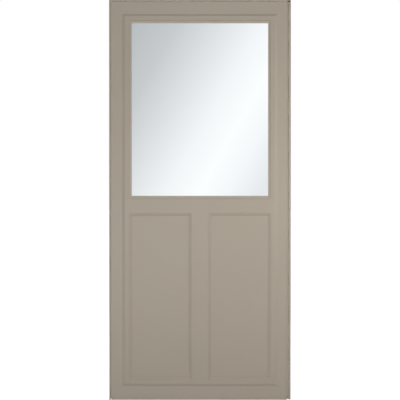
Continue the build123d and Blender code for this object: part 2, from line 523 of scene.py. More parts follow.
def spray_coat_group() -> bpy.types.NodeTree:
    """Sprayed paint: a fine orange peel, a slow drift of tone and a slight change of sheen.

    Inputs are Place, Peel Scale and Drift; outputs are Height, Tone and Sheen. With c = slow noise
    + 0.35 * fine noise, less its mean, tone = 1 + Drift * c and sheen = 0.25 * c.

    Returns:
        The group.
    """
    tree = group_tree("spray_coat", {"Peel Scale": 420.0, "Drift": 0.03}, ("Height", "Tone", "Sheen"))
    nodes = Nodes(tree)
    inside = nodes.add("NodeGroupInput").outputs
    slow = nodes.noise(2.2, 3.0, inside["Place"])
    fine = nodes.math("MULTIPLY", nodes.noise(95.0, 4.0, inside["Place"]), 0.35)
    centred = nodes.math("SUBTRACT", nodes.math("ADD", slow, fine), 0.675)
    nodes.add(
        "NodeGroupOutput",
        in_Height=nodes.noise(inside["Peel Scale"], 2.0, inside["Place"], 0.4),
        in_Tone=nodes.math("ADD", nodes.math("MULTIPLY", centred, inside["Drift"]), 1.0),
        in_Sheen=nodes.math("MULTIPLY", centred, 0.25),
    )
    return tree


def settled_dust_group() -> bpy.types.NodeTree:
    """Dust on faces that look up: mask = soft maximum of (normal z - 0.15) and 0, times noise.

    Inputs are Place, Amount and Patch Scale; the output is Mask.

    Returns:
        The group.
    """
    tree = group_tree("settled_dust", {"Amount": 0.3, "Patch Scale": 18.0}, ("Mask",))
    nodes = Nodes(tree)
    inside = nodes.add("NodeGroupInput").outputs
    normal = nodes.add("ShaderNodeNewGeometry").outputs["Normal"]
    tilt = nodes.add("ShaderNodeSeparateXYZ", in_Vector=normal).outputs["Z"]
    up = nodes.math("SMOOTH_MAX", nodes.math("SUBTRACT", tilt, 0.15), 0.0)
    patch = nodes.noise(inside["Patch Scale"], 5.0, inside["Place"])
    mask = nodes.math("MULTIPLY", nodes.math("MULTIPLY", up, patch), inside["Amount"], clamp=True)
    nodes.add("NodeGroupOutput", in_Mask=mask)
    return tree


@dataclass
class GroupShelf:
    """The shared node groups, each built once."""

    spray_coat: bpy.types.NodeTree = field(default_factory=spray_coat_group)
    settled_dust: bpy.types.NodeTree = field(default_factory=settled_dust_group)

    def dust(self, nodes: Nodes, place: bpy.types.NodeSocket, amount: float) -> bpy.types.NodeSocket:
        """The dust mask over a position, in a material's own tree."""
        node = nodes.add("ShaderNodeGroup", node_tree=self.settled_dust, in_Place=place, in_Amount=amount)
        return node.outputs["Mask"]


def start_material(name: str) -> tuple[bpy.types.Material, Nodes, bpy.types.Node]:
    """A new material with one Principled shader.

    Args:
        name: Name of the material.

    Returns:
        The material, its node builder and the shader.
    """
    material = bpy.data.materials.new(name)
    material.use_nodes = True
    material.node_tree.nodes.clear()
    nodes = Nodes(material.node_tree)
    shader = nodes.add("ShaderNodeBsdfPrincipled")
    nodes.add("ShaderNodeOutputMaterial", in_Surface=shader.outputs["BSDF"])
    return material, nodes, shader


@dataclass(frozen=True)
class PaintFinish:
    """Satin sandstone paint, sprayed on metal."""

    name: str
    colour: Colour
    roughness: float = 0.42
    specular: float = 0.35
    peel_scale: float = 420.0
    peel_height_mm: float = 0.012
    peel_strength: float = 0.6
    drift: float = 0.05
    dust: float = 0.22
    dust_colour: Colour = (0.46, 0.42, 0.36)
    dust_roughness: float = 0.5

    def build(self, shelf: GroupShelf) -> bpy.types.Material:
        """Build the material from the shared spray and dust groups.

        Args:
            shelf: The shared groups.

        Returns:
            The material.
        """
        material, nodes, shader = start_material(self.name)
        place = nodes.place()
        coat = nodes.add(
            "ShaderNodeGroup",
            node_tree=shelf.spray_coat,
            in_Place=place,
            in_Peel_Scale=self.peel_scale,
            in_Drift=self.drift,
        ).outputs
        dust = shelf.dust(nodes, place, self.dust)
        sheen = nodes.math("ADD", coat["Sheen"], self.roughness)
        dull = nodes.math("MULTIPLY", dust, self.dust_roughness)
        nodes.wire(
            shader,
            Base_Color=nodes.blended(dust, nodes.tinted(self.colour, coat["Tone"]), self.dust_colour),
            Roughness=nodes.math("ADD", sheen, dull, clamp=True),
            Specular_IOR_Level=self.specular,
        )
        nodes.bump(shader, coat["Height"], self.peel_height_mm, self.peel_strength)
        return material


@dataclass(frozen=True)
class LinedFinish:
    """Fine lines along a piece, as drawing leaves on steel and a die leaves on vinyl."""

    name: str
    colour: Colour
    lines_per_m: tuple[float, float, float]
    detail: float
    tone: tuple[float, float]
    roughness: tuple[float, float]
    depth_mm: float
    dust_colour: Colour
    dust: float = 0.3
    metallic: float = 0.0
    strength: float = 0.5

    def build(self, shelf: GroupShelf) -> bpy.types.Material:
        """Build the material: noise stretched along the lines drives tone, roughness and height.

        Args:
            shelf: The shared groups.

        Returns:
            The material.
        """
        material, nodes, shader = start_material(self.name)
        place = nodes.place()
        stretch = nodes.add("ShaderNodeMapping", in_Vector=place, in_Scale=self.lines_per_m)
        lines = nodes.noise(1.0, self.detail, stretch.outputs["Vector"])
        colour = nodes.tinted(self.colour, nodes.spread(lines, *self.tone))
        nodes.wire(
            shader,
            Base_Color=nodes.blended(shelf.dust(nodes, place, self.dust), colour, self.dust_colour),
            Roughness=nodes.spread(lines, *self.roughness),
            Metallic=self.metallic,
        )
        nodes.bump(shader, lines, self.depth_mm, self.strength)
        return material


@dataclass(frozen=True)
class PileFinish:
    """Woven pile: matt fibres with a soft sheen and uneven tone."""

    name: str
    colour: Colour
    fibre_scale: float = 1500.0
    drift_scale: float = 60.0
    fibre_share: float = 0.7
    tone: tuple[float, float] = (0.6, 1.35)
    roughness: tuple[float, float] = (0.98, 0.85)
    depth_mm: float = 0.15
    strength: float = 0.7
    sheen: float = 0.35
    sheen_roughness: float = 0.5

    def build(self, shelf: GroupShelf) -> bpy.types.Material:
        """Build the material: speckle between fibres and cloth sheen, with no group of the shelf.

        Args:
            shelf: The shared groups.

        Returns:
            The material.
        """
        material, nodes, shader = start_material(self.name)
        place = nodes.place()
        speckle = nodes.noise(self.fibre_scale, 2.0, place)
        drift = nodes.noise(self.drift_scale, 3.0, place)
        mixed = nodes.math(
            "ADD",
            nodes.math("MULTIPLY", speckle, self.fibre_share),
            nodes.math("MULTIPLY", drift, 1.0 - self.fibre_share),
        )
        nodes.wire(
            shader,
            Base_Color=nodes.tinted(self.colour, nodes.spread(mixed, *self.tone)),
            Roughness=nodes.spread(mixed, *self.roughness),
            Sheen_Weight=self.sheen,
            Sheen_Roughness=self.sheen_roughness,
        )
        nodes.bump(shader, speckle, self.depth_mm, self.strength)
        return material


@dataclass(frozen=True)
class GlassFinish:
    """Clear tempered pane with a trace of smear in its gloss."""

    name: str
    tint: Colour = (0.985, 0.995, 0.995)
    tone: tuple[float, float] = (0.992, 1.0)
    roughness: tuple[float, float] = (0.0, 0.012)
    smear_scale: float = 7.0
    ior: float = 1.5

    def build(self, shelf: GroupShelf) -> bpy.types.Material:
        """Build the material: full transmission, almost no roughness, with no group of the shelf.

        Args:
            shelf: The shared groups.

        Returns:
            The material.
        """
        material, nodes, shader = start_material(self.name)
        smear = nodes.noise(self.smear_scale, 4.0, nodes.place())
        nodes.wire(
            shader,
            Base_Color=nodes.tinted(self.tint, nodes.spread(smear, *self.tone)),
            Roughness=nodes.spread(smear, *self.roughness),
            IOR=self.ior,
            Transmission_Weight=1.0,
        )
        return material


SAND: Colour = (0.388, 0.344, 0.284)
FINISHES = {
    "leaf_paint": PaintFinish("leaf_sandstone_paint", SAND),
    "panel_paint": PaintFinish("panel_sandstone_paint", SAND),
    "frame_paint": PaintFinish("frame_sandstone_paint", SAND, roughness=0.38),
    "bead_paint": PaintFinish("bead_sandstone_paint", SAND, roughness=0.38, peel_scale=520.0),
    "hinge_paint": PaintFinish("hinge_sandstone_paint", (0.41, 0.365, 0.303), roughness=0.36),
    "pin_steel": LinedFinish(
        "hinge_pin_steel",
        (0.5, 0.49, 0.47),
        lines_per_m=(900.0, 900.0, 12.0),
        detail=3.0,
        tone=(0.86, 1.1),
        roughness=(0.24, 0.44),
        depth_mm=0.02,
        dust_colour=(0.35, 0.33, 0.3),
        metallic=1.0,
    ),
    "pile_seal": PileFinish("woven_pile", (0.6, 0.54, 0.455)),
    "sweep_vinyl": LinedFinish(
        "sweep_vinyl",
        (0.4, 0.36, 0.3),
        lines_per_m=(6.0, 700.0, 700.0),
        detail=2.0,
        tone=(0.93, 1.06),
        roughness=(0.56, 0.7),
        depth_mm=0.03,
        dust_colour=(0.5, 0.46, 0.4),
        dust=0.5,
    ),
    "clear_glass": GlassFinish("clear_tempered_glass"),
}


@dataclass
class Workshop:
    """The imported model, the finishes and the calls that dress a piece."""

    frame: dict
    weld_m: float = 1e-6
    flat_deg: float = 1.0
    crease_deg: float = 50.0
    materials: dict[str, bpy.types.Material] = field(default_factory=dict)
    slots: dict[str, str] = field(default_factory=dict)

    def __post_init__(self) -> None:
        """Build every finish once and give each CAD node the one of its slot."""
        shelf = GroupShelf()
        self.materials = {key: finish.build(shelf) for key, finish in FINISHES.items()}
        self.slots = {row["node"]: row["material_slot"] for row in self.frame["record"]["subparts"]}
        for node, slot in self.slots.items():
            self.paint(self.frame["nodes"][node], slot)

    def paint(self, piece: bpy.types.Object, finish: str) -> None:
        """Give all of a piece's material slots one finish.

        Args:
            piece: The piece.
            finish: Key of the finish.
        """
        if not piece.data.materials:
            piece.data.materials.append(self.materials[finish])
        for slot in piece.material_slots:
            slot.link = "OBJECT"
            slot.material = self.materials[finish]

    def fit(self, piece: bpy.types.Object, body: Body, slot: str, nodes: tuple[str, ...] = ()) -> None:
        """Fix a new piece to its body, give it the finish of its slot and hide the nodes that it stands for.

        Args:
            piece: The new piece.
            body: The body it moves with.
            slot: Material slot of the record, also the finish.
            nodes: CAD nodes that it replaces.
        """
        piece.data.materials.append(self.materials[slot])
        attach(piece, body.value)
        if nodes:
            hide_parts(*nodes)
        LOG.info("%s: %d points on %s", piece.name, len(piece.data.vertices), body.value)

    def ease(self, node: str, body: Body, radius_mm: float) -> None:
        """Replace a CAD node by a copy with its triangles joined up and its edges eased.

        Args:
            node: The CAD node.
            body: The body it moves with.
            radius_mm: Width of the eased edge.
        """
        mesh = self.frame["nodes"][node].data.copy()
        mesh.name = f"{node}_eased"
        work = bmesh.new()
        work.from_mesh(mesh)
        bmesh.ops.remove_doubles(work, verts=work.verts, dist=self.weld_m)
        bmesh.ops.dissolve_limit(
            work,
            angle_limit=math.radians(self.flat_deg),
            verts=work.verts,
            edges=work.edges,
            delimit={"NORMAL"},
        )
        work.to_mesh(mesh)
        work.free()
        mesh.shade_smooth()
        mesh.set_sharp_from_angle(angle=math.radians(self.crease_deg))
        mesh.materials.clear()
        piece = bpy.data.objects.new(f"{node}_eased", mesh)
        bpy.context.collection.objects.link(piece)
        ease = piece.modifiers.new("eased_edges", "BEVEL")
        ease.width = radius_mm * MM
        ease.segments = 2
        ease.limit_method = "ANGLE"
        ease.angle_limit = math.radians(self.crease_deg)
        ease.harden_normals = True
        self.fit(piece, body, self.slots[node], (node,))


# Leaf


def face_rect(box: tuple[Vector, Vector]) -> Rect:
    """The rectangle in x and z of a box."""
    low, high = box
    return Rect(low.x, high.x, low.z, high.z)


@dataclass
class LeafBorder:
    """Stiles and rails: a flat border, a soft step up to the inner field and the opening."""

    shop: Workshop
    overall_mm: float = 921.0
    step_side_mm: float = 64.5
    step_foot_mm: float = 70.5
    step_head_mm: float = 1960.5
    step_run_mm: float = 20.3
    step_lean: float = 0.85
    foot_scale: float = 0.8
    head_scale: float = 0.74
    crest_run_mm: float = 5.0
    crest: float = 0.04
    back_mm: float = 38.0
    edge_radius_mm: float = 0.9
    latch_bevel_mm: float = 2.0

    def step(self, field_mm: float) -> np.ndarray:
        """The step's profile of (offset, depth), with t from 0 to 1 over each run.

        It climbs as depth = field * (1 + crest) * (3 s^2 - 2 s^3), where s = t^lean, to a low crest,
        and then settles to the field as depth = field * (1 + crest * (1 + cos(pi t)) / 2).

        Args:
            field_mm: Depth of the inner field.

        Returns:
            Array (n, 2) in millimetres.
        """
        t = np.linspace(0, 1, 19)
        s = t**self.step_lean
        climb = np.stack([self.step_run_mm * t, (1 + self.crest) * (3 * s**2 - 2 * s**3)], axis=-1)
        t = np.linspace(0, 1, 8)[1:]
        settle = np.stack(
            [self.step_run_mm + self.crest_run_mm * t, 1 + self.crest * (1 + np.cos(np.pi * t)) / 2],
            axis=-1,
        )
        return np.concatenate([climb, settle]) * [1.0, field_mm]

    def nest(self) -> Nest:
        """All the border's nested rectangles, from the outer back edge to the opening's back edge.

        Returns:
            The nested rectangles, with the latch edge bevelled back.
        """
        stile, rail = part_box("latch_stile"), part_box("top_rail")
        hinge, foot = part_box("hinge_stile"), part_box("bottom_rail")
        field_mm = stile[0].y / MM
        outer = Rect(stile[0].x, hinge[1].x, foot[0].z, rail[1].z)
        back = Rect(outer.left + self.latch_bevel_mm * MM, outer.right, outer.foot, outer.head)
        step = Rect(
            (self.step_side_mm - self.overall_mm) * MM,
            -self.step_side_mm * MM,
            self.step_foot_mm * MM,
            self.step_head_mm * MM,
        )
        opening = Rect(stile[1].x, hinge[0].x, foot[1].z, rail[0].z)
        radius = self.edge_radius_mm
        front_edge = arc((radius, radius), radius, 180, 270, 13)
        walls = np.array([[0.0, field_mm], [0.0, self.back_mm]])
        nest = Nest.along(back, np.array([[0.0, self.back_mm]]))
        nest = nest.joined(Nest.along(outer, front_edge))
        nest = nest.joined(Nest.along(step, self.step(field_mm), self.foot_scale, self.head_scale))
        return nest.joined(Nest.along(opening, walls))

    def build(self) -> None:
        """Make the four mitred pieces."""
        nest = self.nest()
        for side, node in (
            (Side.LATCH, "latch_stile"),
            (Side.HINGE, "hinge_stile"),
            (Side.HEAD, "top_rail"),
            (Side.FOOT, "bottom_rail"),
        ):
            piece = flattened(new_piece(f"{node}_skin", *nest.side(side), crease_deg=12.0))
            self.shop.fit(piece, Body.LEAF, "leaf_paint", (node,))


@dataclass
class LowerPanels:
    """Two pressed panels, each sunk inside a moulding with a crease on both sides."""

    shop: Workshop
    lip_mm: float = 0.5
    drop_run_mm: float = 1.6
    drop_mm: float = 2.1
    cove_run_mm: float = 8.6
    cove_mm: float = 2.6
    foot_run_mm: float = 1.5
    gutter_mm: float = 0.55
    gutter_run_mm: float = 0.8
    fall_mm: float = 6.6
    back_mm: float = 34.0

    def profile(self, flush_mm: float) -> np.ndarray:
        """Profile of (offset, depth): lip, short drop, gentle cove, second short drop and face.

        Both drops follow (1 - cos(pi t)) / 2 down to a shallow gutter, and the cove falls as
        0.7 t + 0.3 t^2 of its depth.

        Args:
            flush_mm: Depth of the stiles' inner field.

        Returns:
            Array (n, 2) in millimetres.
        """
        t = np.linspace(0, 1, 7)
        ease = (1 - np.cos(np.pi * t)) / 2
        drop_depth = (self.drop_mm + self.gutter_mm) * ease
        drop = np.stack([self.lip_mm + self.drop_run_mm * t, drop_depth], axis=-1)
        run = np.linspace(0, 1, 10)[:-1]
        start, deep = drop[-1, 0] + self.gutter_run_mm, self.drop_mm
        cove = np.stack(
            [start + self.cove_run_mm * run, deep + self.cove_mm * (0.7 * run + 0.3 * run**2)], axis=-1
        )
        start, deep = start + self.cove_run_mm, deep + self.cove_mm
        foot_depth = deep + (self.fall_mm + self.gutter_mm - deep) * ease
        foot = np.stack([start + self.foot_run_mm * t, foot_depth], axis=-1)
        face = [[foot[-1, 0] + self.gutter_run_mm, self.fall_mm]]
        fall = np.concatenate([[[0.0, 0.0]], drop, cove, foot, face]) + [0.0, flush_mm]
        return np.concatenate([[[0.0, self.back_mm]], fall])

    def build(self) -> None:
        """Make both panels."""
        for node in ("latch_side_panel", "hinge_side_panel"):
            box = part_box(node)
            nest = Nest.along(face_rect(box), self.profile(box[0].y / MM))
            piece = flattened(new_piece(f"{node}_skin", *nest.filled(), crease_deg=18.0))
            self.shop.fit(piece, Body.LEAF, "panel_paint", (node,))


@dataclass
class Glazing:
    """Pane, outer beads and inner retainer strips."""

    shop: Workshop
    bead_mm: float = 12.5
    foot_bead_mm: float = 14.5
    glass_mm: float = 10.0
    groove_mm: tuple[float, float] = (0.7, 1.6)
    groove_lip_mm: tuple[float, float] = (0.15, 0.35)
    nose_mm: float = 1.2
    face_start_mm: float = 0.1
    face_run_mm: float = 10.6
    face_fall_mm: float = 4.4
    retainer_mm: tuple[float, float] = (14.0, 38.0)
    retainer_wide_mm: float = 11.6
    retainer_rim_mm: float = 6.9
    retainer_round_mm: float = 1.0

    def bead_profile(self, front_mm: float) -> np.ndarray:
        """Profile of (offset, depth): a groove, a nose, a face that flattens, a rolled edge, the glass.

        The face falls as 1.15 t - 0.15 t^2 of its depth.

        Args:
            front_mm: Depth of the stiles' inner field.

        Returns:
            Array (n, 2) in millimetres.
        """
        t = np.linspace(0, 1, 10)
        face = np.stack(
            [
                self.nose_mm + self.face_run_mm * t,
                front_mm + self.face_start_mm + self.face_fall_mm * (1.15 * t - 0.15 * t**2),
            ],
            axis=-1,
        )
        roll = self.bead_mm - face[-1, 0]
        edge = arc((face[-1, 0], face[-1, 1] + roll), roll, -75, 0, 6)
        wide, deep = self.groove_mm
        lip, sunk = self.groove_lip_mm
        start = np.array(
            [
                [0.0, self.glass_mm],
                [0.0, front_mm + deep],
                [wide, front_mm + deep],
                [wide + lip, front_mm + sunk],
            ]
        )
        return np.concatenate([start, face, edge, [[self.bead_mm, self.glass_mm]]])

    def retainer_profile(self) -> np.ndarray:
        """Profile of (offset, depth): square against the pane, then sloping back to a flat rim.

        Returns:
            Array (n, 2) in millimetres.
        """
        (glass, back), wide, radius = self.retainer_mm, self.retainer_wide_mm, self.retainer_round_mm
        rim = arc((self.retainer_rim_mm, back - radius), radius, 10, 90, 5)
        return np.concatenate([[[0.0, back], [0.0, glass], [wide, glass], [wide, glass + 1.0]], rim])

    def build(self) -> None:
        """Make the beads and retainers; the CAD pane stays, with its finish."""
        low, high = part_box("top_bead")
        opening = Rect(low.x, high.x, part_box("bottom_bead")[0].z, high.z)
        foot_scale = self.foot_bead_mm / self.bead_mm
        bead = Nest.along(opening, self.bead_profile(low.y / MM), foot_scale)
        retainer = Nest.along(opening, self.retainer_profile(), foot_scale)
        for side in Side:
            for word, nest, crease in (("bead", bead, 18.0), ("retainer", retainer, 25.0)):
                node = f"{side.value}_{word}"
                piece = new_piece(f"{node}_trim", *nest.side(side), crease_deg=crease)
                self.shop.fit(piece, Body.LEAF, "bead_paint", (node,))


# Hinge, frame, seals


@dataclass
class PianoHinge:
    """Full-length hinge: knuckles with eased ends on one pin, and a flap on each side."""

    shop: Workshop
    pin_x_mm: float = -7.3
    barrel_mm: float = 4.8
    bore_mm: float = 2.55
    knuckles: int = 21
    gap_mm: float = 0.5
    ease_mm: float = 0.5
    foot_mm: float = 6.0
    head_mm: float = 2021.0
    frame_face_mm: float = -2.0
    frame_flap_mm: float = 2.0
    leaf_face_mm: float = -18.3
    leaf_flap_mm: float = 1.2
    flap_depth_mm: float = 32.0
    notch_mm: float = 5.6
    arm_mm: float = 1.5
    arm_overlap_mm: float = 0.5
    leg_mm: tuple[float, float] = (0.8, 2.6)
    leg_inset_mm: float = 0.2
    leg_reach_mm: float = 5.1
    leg_overlap_mm: tuple[float, float] = (0.6, 1.0)
    leaf_foot_mm: float = 14.0
    bar_edge_mm: float = 0.4
    shaft_mm: float = 2.5
    pin_head_mm: float = 3.9
    pin_head_tall_mm: float = 1.5
    pin_rim_mm: float = 0.4

    def spans(self, first: int) -> list[tuple[float, float]]:
        """Heights of every second knuckle, with half a gap at each end that meets another.

        Args:
            first: Number of the first, 0 or 1.

        Returns:
            Low and high end of each in millimetres.
        """
        pitch = (self.head_mm - self.foot_mm) / self.knuckles
        low_gap = [0.0] + [self.gap_mm / 2] * (self.knuckles - 1)
        high_gap = low_gap[::-1]
        return [
            (self.foot_mm + k * pitch + low_gap[k], self.foot_mm + (k + 1) * pitch - high_gap[k])
            for k in range(first, self.knuckles, 2)
        ]

    def knuckle(self, low: float, high: float) -> Shell:
        """One knuckle: a ring with eased ends, turned round the pin.

        Args:
            low: Height of its foot in millimetres.
            high: Height of its head.

        Returns:
            Points and faces.
        """
        radius, bore, ease = self.barrel_mm, self.bore_mm, self.ease_mm
        bend = ease * 0.3
        profile = np.array(
            [
                [bore, low],
                [radius - ease, low],
                [radius - bend, low + bend],
                [radius, low + ease],
                [radius, high - ease],
                [radius - bend, high - bend],
                [radius - ease, high],
                [bore, high],
            ]
        )
        return turned(profile * MM, (self.pin_x_mm * MM, 0.0))

    def bar(self, *limits: tuple[float, float]) -> Shell:
        """A vertical bar between limits in x, y and z in millimetres, with rounded long edges."""
        low, high = (tuple(limit[end] * MM for limit in limits) for end in (0, 1))
        return softened_box(low, high, self.bar_edge_mm * MM, Z)

    def dress(self, name: str, parts: list[Shell], body: Body, node: str) -> None:
        """Join the parts of one half into a piece that replaces its node."""
        self.shop.fit(new_piece(name, *merged(parts)), body, "hinge_paint", (node,))

    def build(self) -> None:
        """Make the frame's half, the leaf's half and the pin."""
        plate = (self.frame_face_mm - self.frame_flap_mm, self.frame_face_mm)
        arm = (self.arm_mm, self.notch_mm + self.arm_overlap_mm)
        parts = [self.bar(plate, (self.notch_mm, self.flap_depth_mm), (self.foot_mm, self.head_mm))]
        for span in self.spans(0):
            parts += [self.knuckle(*span), self.bar(plate, arm, span)]
        self.dress("frame_hinge_half", parts, Body.FRAME, "frame_hinge_leaf")
        edge, leg, tall = self.leaf_face_mm, self.leg_mm, (self.leaf_foot_mm, self.head_mm)
        reach = self.pin_x_mm - self.leg_reach_mm
        tongue = (reach - self.leg_overlap_mm[0], self.pin_x_mm - self.leg_overlap_mm[1])
        parts = [
            self.bar((edge, edge + self.leaf_flap_mm), (leg[0], leg[0] + self.flap_depth_mm), tall),
            self.bar((edge + self.leg_inset_mm, reach), leg, tall),
        ]
        for span in self.spans(1):
            parts += [self.knuckle(*span), self.bar(tongue, leg, span)]
        self.dress("leaf_hinge_half", parts, Body.LEAF, "leaf_hinge_leaf")
        self.build_pin()

    def build_pin(self) -> None:
        """The pin: a shaft with a domed head beyond each end knuckle.

        Each dome is a quarter circle stretched to the head's radius and height; it stops a hair's
        breadth from the axis, so that the turned ring closes on itself.
        """
        shaft, head, rim = self.shaft_mm, self.pin_head_mm, self.pin_rim_mm
        dome = arc((0.0, 0.0), 1.0, 0, 90, 6) * [head, self.pin_head_tall_mm - rim]
        dome[-1, 0] = 0.02
        top = dome + [0.0, self.head_mm + rim]
        foot = dome * [1.0, -1.0] + [0.0, self.foot_mm - rim]
        ends = [[head, self.foot_mm], [shaft, self.foot_mm], [shaft, self.head_mm], [head, self.head_mm]]
        profile = np.concatenate([foot[::-1], ends, top])
        pin = new_piece("hinge_pin_turned", *turned(profile * MM, (self.pin_x_mm * MM, 0.0), 28))
        self.shop.fit(pin, Body.FRAME, "pin_steel", ("hinge_pin",))


@dataclass
class FrameSections:
    """Jambs and head: the CAD sections with their edges eased."""

    shop: Workshop
    ease_mm: float = 0.35

    def build(self) -> None:
        """Ease the three sections."""
        for node in ("hinge_jamb", "latch_jamb", "head_jamb"):
            self.shop.ease(node, Body.FRAME, self.ease_mm)


@dataclass
class PileSeals:
    """Woven pile: a backing strip with rows of leaning three-sided tufts."""

    shop: Workshop
    pitch_mm: float = 2.0
    row_mm: float = 1.5
    tuft_mm: float = 1.15
    tip_share: float = 0.75
    shortest: float = 0.88
    backing_mm: float = 1.0
    backing_edge_mm: float = 0.2
    sunk_mm: float = 0.3
    jitter_along: float = 0.4
    jitter_aside: float = 0.3

    def places(
        self, low: float, high: float, counts: tuple[int, int], jitter: float, rng: np.random.Generator
    ) -> np.ndarray:
        """Where tufts stand between two limits: even steps plus jitter, kept inside.

        Args:
            low: Low limit in metres.
            high: High limit in metres.
            counts: Number of steps, and of rows with a jitter of their own.
            jitter: Largest shift as a share of a step.
            rng: Source of random numbers.

        Returns:
            Array of that shape, in metres.
        """
        half = self.tuft_mm * MM / 2
        step = (high - low - 2 * half) / counts[0]
        even = low + half + step * (np.arange(counts[0]) + 0.5)
        shift = rng.uniform(-jitter, jitter, counts) * step
        return np.clip(even[:, None] + shift, low + half, high - half)

    def strip(self, node: str, run: int, reach: int, sign: int, seed: int) -> None:
        """One strip of pile: each tuft is a three-sided prism that narrows and leans to its tip.

        Args:
            node: CAD node that the strip replaces.
            run: X, Y or Z, the axis the strip runs along.
            reach: Axis the tufts point along.
            sign: 1 if they point to the high end of that axis, or -1.
            seed: Seed of the jitter.
        """
        low, high = (np.array(corner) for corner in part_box(node))
        across = 3 - run - reach
        back_low, back_high = low.copy(), high.copy()
        root, tip = (low[reach], high[reach]) if sign > 0 else (high[reach], low[reach])
        inner = root + sign * self.backing_mm * MM
        back_low[reach], back_high[reach] = min(root, inner), max(root, inner)
        backing = softened_box(tuple(back_low), tuple(back_high), self.backing_edge_mm * MM, run)
        rng = np.random.default_rng(seed)
        rows = max(3, round((high[across] - low[across]) / (self.row_mm * MM)))
        columns = round((high[run] - low[run]) / (self.pitch_mm * MM))
        run_at = self.places(low[run], high[run], (columns, rows), self.jitter_along, rng).ravel()
        side_at = self.places(low[across], high[across], (rows, columns), self.jitter_aside, rng).T.ravel()
        count = columns * rows
        turn = rng.uniform(0, 2 * np.pi, count)[:, None] + np.radians([0.0, 120.0, 240.0])[None]
        lean = rng.uniform(-1.0, 1.0, count) * self.pitch_mm * MM * 0.5
        length = rng.uniform(self.shortest, 1.0, count)
        half = self.tuft_mm * MM / 2
        points = np.zeros((count, 6, 3))
        for first, width, shift in ((0, half, 0.0), (3, self.tip_share * half, 1.0)):
            block = points[:, first : first + 3]
            middle = np.clip(run_at + shift * lean, low[run] + half, high[run] - half)
            block[..., run] = middle[:, None] + width * np.cos(turn)
            block[..., across] = side_at[:, None] + width * np.sin(turn)
        points[:, :3, reach] = inner - sign * self.sunk_mm * MM
        points[:, 3:, reach] = (inner + (tip - inner) * length)[:, None]
        sides = np.array([[0, 1, 4, 3], [1, 2, 5, 4], [2, 0, 3, 5]])
        caps = np.array([[3, 4, 5], [2, 1, 0]])
        first_point = np.arange(count)[:, None, None] * 6
        faces = (first_point + sides).reshape(-1, 4).tolist() + (first_point + caps).reshape(-1, 3).tolist()
        piece = new_piece(f"{node}_pile", *merged([backing, (points.reshape(-1, 3), faces)]))
        self.shop.fit(piece, Body.FRAME, "pile_seal", (node,))

    def build(self) -> None:
        """Make the five strips."""
        self.strip("latch_edge_seal", run=Z, reach=X, sign=1, seed=11)
        self.strip("head_edge_seal", run=X, reach=Z, sign=-1, seed=12)
        self.strip("hinge_stop_seal", run=Z, reach=Y, sign=-1, seed=13)
        self.strip("latch_stop_seal", run=Z, reach=Y, sign=-1, seed=14)
        self.strip("head_stop_seal", run=X, reach=Y, sign=-1, seed=15)


@dataclass
class BottomClosure:
    """Expander channel and the soft sweep below it."""

    shop: Workshop
    ease_mm: float = 0.5
    web_mm: float = 2.0
    fin_half_mm: float = 1.0
    bulb_rise_mm: float = 2.4

    def build(self) -> None:
        """Ease the channel and make the sweep as one run of its section: a web and three fins."""
        self.shop.ease("bottom_expander", Body.LEAF, self.ease_mm)
        low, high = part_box("bottom_sweep")
        web_low = (low.x, low.y, high.z - self.web_mm * MM)
        parts = [softened_box(web_low, tuple(high), self.web_mm / 4 * MM, X)]
        front, back = low.y / MM, high.y / MM
        for root in (front + self.fin_half_mm, (front + back) / 2, back - self.fin_half_mm):
            section = self.fin(root, low.z / MM, high.z / MM - self.web_mm / 2) * MM
            rings = np.zeros((2, len(section), 3))
            rings[:, :, 1:] = section[None]
            rings[:, :, 0] = [[low.x], [high.x]]
            parts.append(swept(rings))
        piece = new_piece("bottom_sweep_fins", *merged(parts))
        self.shop.fit(piece, Body.LEAF, "sweep_vinyl", ("bottom_sweep",))

    def fin(self, root: float, foot: float, head: float) -> np.ndarray:
        """Section of a fin: half width 1 at the root, 0.75 just below it, 0.7 above a round bulb of 1.

        Args:
            root: Middle of the fin in y, mm.
            foot: Height of the tip, mm.
            head: Height of the root, mm.

        Returns:
            Array (n, 2) of y and z in millimetres.
        """
        half = self.fin_half_mm
        side = np.array([[half, head], [0.75 * half, head - 1.5], [0.7 * half, foot + self.bulb_rise_mm]])
        bulb = arc((root, foot + half), half, 180, 360, 9)
        return np.concatenate([side * [-1.0, 1.0] + [root, 0.0], bulb, side[::-1] + [root, 0.0]])


def spots(x: object, y: object, z: object) -> np.ndarray:
    """Places (n, 3): each of x, y and z is one number for all, or one for each place."""
    return np.stack(np.broadcast_arrays(x, y, z), axis=-1).astype(float)


